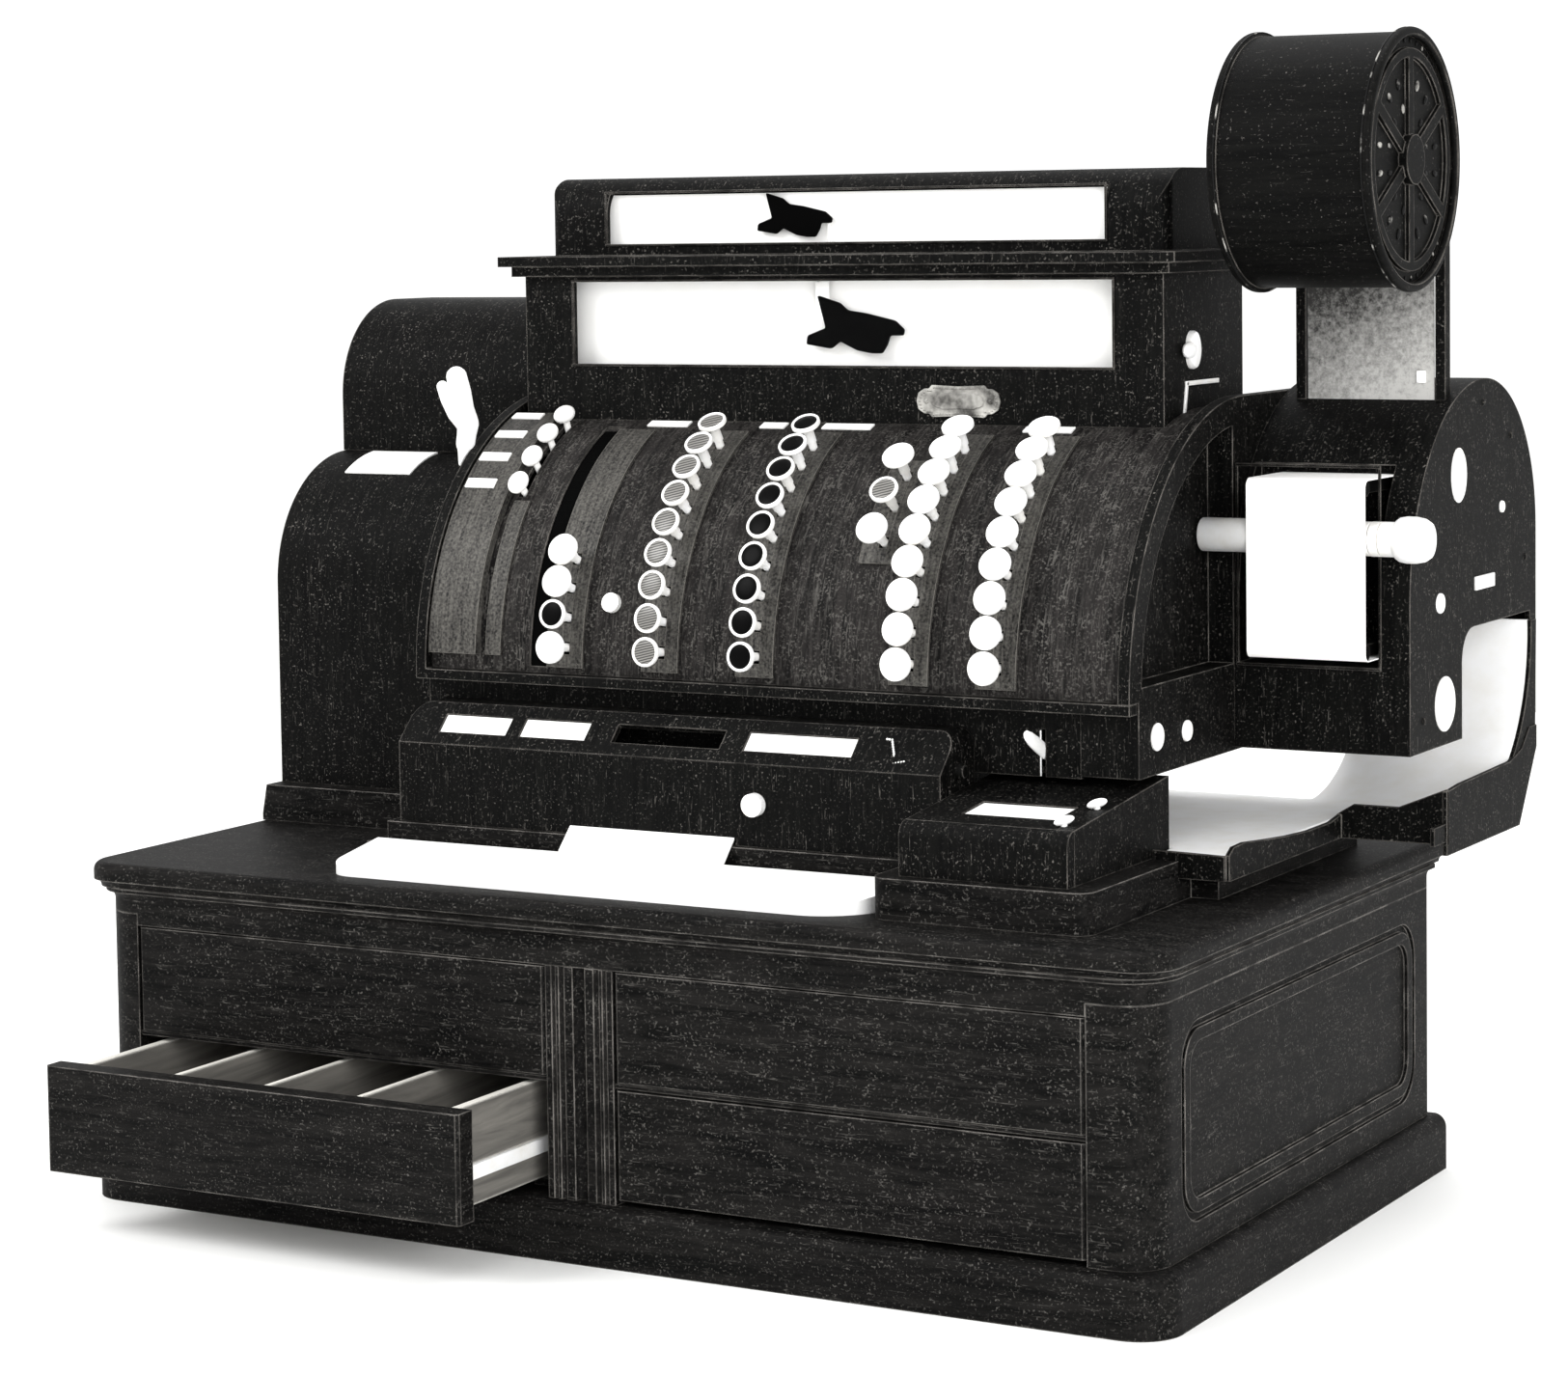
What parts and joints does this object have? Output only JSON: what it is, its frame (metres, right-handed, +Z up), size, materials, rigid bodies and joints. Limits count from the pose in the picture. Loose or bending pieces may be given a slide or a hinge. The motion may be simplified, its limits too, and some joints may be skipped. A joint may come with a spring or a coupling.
{
  "type": "ticket printing cash register",
  "caption": "Counter-top ticket printing register with a curved bank keyboard, raised indicator, paper drum, slip printer and a wooden drawer cabinet.",
  "frame": {"origin": "centre of the plinth underside, on the counter", "axes": "+X to the right seen from the clerk at the front, +Y to the back, +Z up"},
  "size_m": [0.86, 0.638, 0.774],
  "materials": {
    "mahogany": "dark stained and varnished",
    "drawer_wood": "plain planed wood",
    "cabinet_enamel": "wood-grained stove enamel",
    "frame_iron": "black japanned",
    "nickel": "satin nickel plate",
    "bank_strip": "grained grey metal",
    "white_enamel": "gloss white enamel",
    "window_glass": "clear",
    "tablet_black": "matt black",
    "key_white": "white button face in a bright ring",
    "key_grey": "grey button face in a white ring",
    "key_black": "black button face in a white ring",
    "paper": "plain paper"
  },
  "bodies": {
    "case": {"plinth": "mahogany", "side_panel_left": "mahogany", "side_panel_right": "mahogany", "back_panel": "mahogany", "drawer_framing": "drawer_wood", "centre_pilaster": "mahogany", "cove_moulding": "mahogany", "top_board": "mahogany", "platform": "mahogany", "slip_table": "nickel", "slip_case": "cabinet_enamel", "slip_windows": "white_enamel", "receipt_box": "cabinet_enamel", "receipt_window": "white_enamel", "main_chassis": "frame_iron", "keyboard_frame": "cabinet_enamel", "keyboard_cover": "cabinet_enamel", "case_side_right": "cabinet_enamel", "key_guides": "bank_strip", "index_plates": "bank_strip", "label_plates": "white_enamel", "keys_white": "key_white", "keys_grey": "key_grey", "keys_black": "key_black", "left_case": "cabinet_enamel", "left_top_case": "cabinet_enamel", "indicator_case": "cabinet_enamel", "indicator_board": "white_enamel", "indicator_glass": "window_glass", "crest_hood": "cabinet_enamel", "journal_case": "cabinet_enamel", "web_guide": "frame_iron", "paper_web": "paper", "side_caps": "nickel", "drum_posts": "cabinet_enamel", "drum_shell": "cabinet_enamel", "drum_cap": "cabinet_enamel", "chute": "nickel"},
    "lower_left_drawer": {"lower_left_front": "mahogany", "lower_left_tray": "drawer_wood"},
    "lower_right_drawer": {"lower_right_front": "mahogany", "lower_right_tray": "drawer_wood"},
    "upper_left_drawer": {"upper_left_front": "mahogany", "upper_left_tray": "drawer_wood"},
    "upper_right_drawer": {"upper_right_front": "mahogany", "upper_right_tray": "drawer_wood"},
    "control_key": {"control_key": "key_white"},
    "transaction_key": {"transaction_key": "key_white"},
    "hundreds_key": {"hundreds_key": "key_grey"},
    "tens_key": {"tens_key": "key_black"},
    "units_key": {"units_key": "key_white"},
    "cents_key": {"cents_key": "key_white"},
    "hand_lever": {"hand_lever": "nickel"},
    "issue_lever": {"issue_lever": "nickel"},
    "slip_lock": {"slip_lock": "nickel"},
    "keyboard_lock": {"keyboard_lock": "nickel"},
    "thumb_turn": {"thumb_turn": "nickel"},
    "platen": {"platen": "nickel"},
    "paper_roll": {"paper_roll": "paper"},
    "indicator_tablets": {"indicator_tablets": "tablet_black"}
  },
  "joints": [
    {"name": "lower_left_slide", "type": "slide", "parent": "case", "child": "lower_left_drawer", "axis": [0, -1, 0], "range_m": [-0.1, 0.2]},
    {"name": "lower_right_slide", "type": "slide", "parent": "case", "child": "lower_right_drawer", "axis": [0, -1, 0], "range_m": [0, 0.3]},
    {"name": "upper_left_slide", "type": "slide", "parent": "case", "child": "upper_left_drawer", "axis": [0, -1, 0], "range_m": [0, 0.3]},
    {"name": "upper_right_slide", "type": "slide", "parent": "case", "child": "upper_right_drawer", "axis": [0, -1, 0], "range_m": [0, 0.3]},
    {"name": "control_key_press", "type": "slide", "parent": "case", "child": "control_key", "axis": [0, 0.7373, -0.6756], "range_m": [0, 0.004], "stiffness_N_per_m": 150, "springref_m": -0.004},
    {"name": "transaction_key_press", "type": "slide", "parent": "case", "child": "transaction_key", "axis": [0, 0.9947, -0.1028], "range_m": [0, 0.004], "stiffness_N_per_m": 150, "springref_m": -0.004},
    {"name": "hundreds_key_press", "type": "slide", "parent": "case", "child": "hundreds_key", "axis": [0, 0.9947, -0.1028], "range_m": [0, 0.004], "stiffness_N_per_m": 150, "springref_m": -0.004},
    {"name": "tens_key_press", "type": "slide", "parent": "case", "child": "tens_key", "axis": [0, 0.9947, -0.1028], "range_m": [0, 0.004], "stiffness_N_per_m": 150, "springref_m": -0.004},
    {"name": "units_key_press", "type": "slide", "parent": "case", "child": "units_key", "axis": [0, 0.9947, -0.1028], "range_m": [0, 0.004], "stiffness_N_per_m": 150, "springref_m": -0.004},
    {"name": "cents_key_press", "type": "slide", "parent": "case", "child": "cents_key", "axis": [0, 0.9947, -0.1028], "range_m": [0, 0.004], "stiffness_N_per_m": 150, "springref_m": -0.004},
    {"name": "hand_lever_pivot", "type": "hinge", "parent": "case", "child": "hand_lever", "pos_m": [0, 0.079, 0.356], "axis": [1, 0, 0], "range_deg": [0, 45]},
    {"name": "issue_lever_pivot", "type": "hinge", "parent": "case", "child": "issue_lever", "pos_m": [0, -0.06, 0.32], "axis": [1, 0, 0], "range_deg": [0, 20]},
    {"name": "slip_lock_turn", "type": "hinge", "parent": "case", "child": "slip_lock", "pos_m": [0.072, -0.136, 0.284], "axis": [0, -1, 0], "range_deg": [0, 90]},
    {"name": "keyboard_lock_turn", "type": "hinge", "parent": "case", "child": "keyboard_lock", "pos_m": [-0.062, -0.08922, 0.40424], "axis": [0, -0.9613, 0.2756], "range_deg": [0, 90]},
    {"name": "thumb_turn_turn", "type": "hinge", "parent": "case", "child": "thumb_turn", "pos_m": [0.29, 0.063, 0.569], "axis": [1, 0, 0], "range_deg": [0, 90]},
    {"name": "platen_turn", "type": "hinge", "parent": "case", "child": "platen", "pos_m": [0, 0.049, 0.45], "axis": [1, 0, 0], "continuous": true},
    {"name": "paper_roll_turn", "type": "hinge", "parent": "case", "child": "paper_roll", "pos_m": [0, 0.074, 0.69], "axis": [1, 0, 0], "continuous": true},
    {"name": "indicator_tablets_drop", "type": "slide", "parent": "case", "child": "indicator_tablets", "axis": [0, 0, -1], "range_m": [0, 0.02]}
  ]
}
